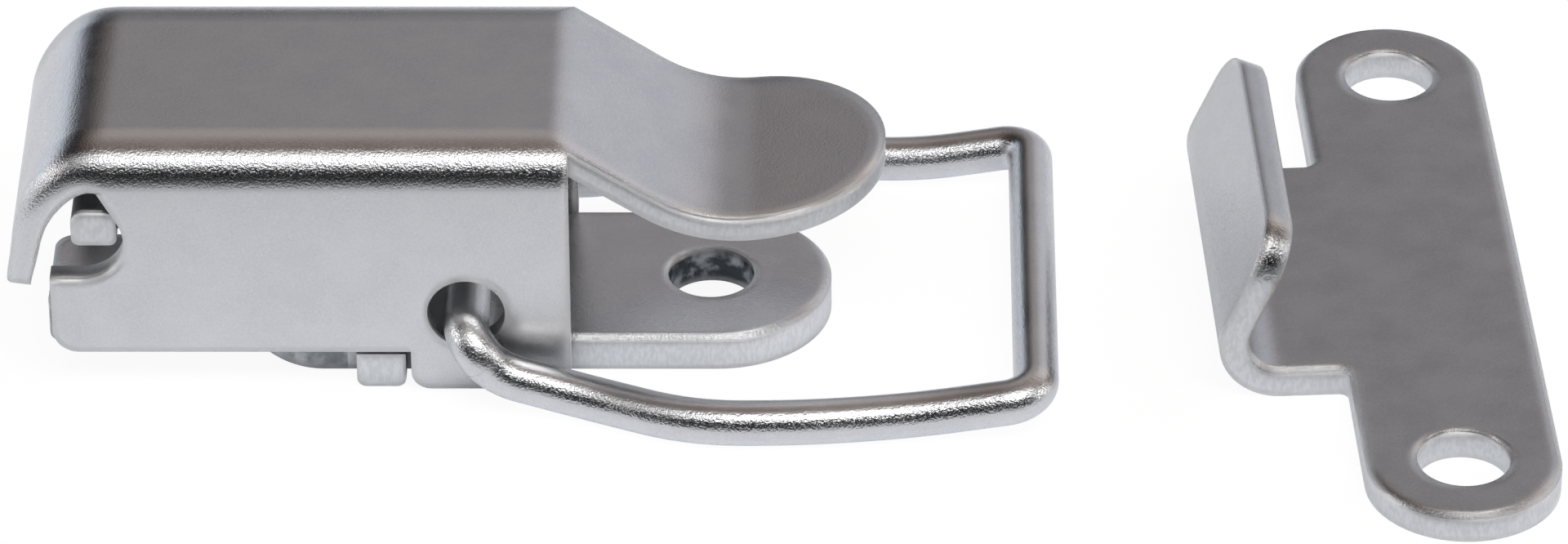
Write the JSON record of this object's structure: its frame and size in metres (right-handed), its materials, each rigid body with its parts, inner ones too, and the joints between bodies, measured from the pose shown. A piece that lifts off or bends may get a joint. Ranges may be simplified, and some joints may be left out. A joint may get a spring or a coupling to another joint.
{
  "type": "trunk latch",
  "caption": "Over-centre trunk latch of pressed steel: a lever with a hood and thumb tab draws a wire bail tight over the hook of a separate catch plate.",
  "frame": {"origin": "on the mounting plane, midway between the base plate's two screw holes", "axes": "+X from the pivot towards the thumb tab of the closed lever, +Z away from the mounting surface, +Y along the pivot"},
  "size_m": [0.0953, 0.0548, 0.0172],
  "materials": {
    "base_plate": "bright zinc plating, smooth",
    "lever": "bright zinc plating, smooth",
    "bail": "bright zinc plating, smooth",
    "catch_plate": "bright zinc plating, smooth"
  },
  "bodies": {
    "base": {"base_plate": "base_plate", "catch_plate": "catch_plate"},
    "lever": {"lever": "lever"},
    "bail": {"bail": "bail"}
  },
  "joints": [
    {"name": "lever_pivot", "type": "hinge", "parent": "base", "child": "lever", "pos_m": [-0.02667, 0, 0.0117], "axis": [0, -1, 0], "range_deg": [0, 120]},
    {"name": "bail_swing", "type": "hinge", "parent": "lever", "child": "bail", "pos_m": [-0.00395, 0, 0.0049], "axis": [0, -1, 0], "range_deg": [0, 185]}
  ]
}
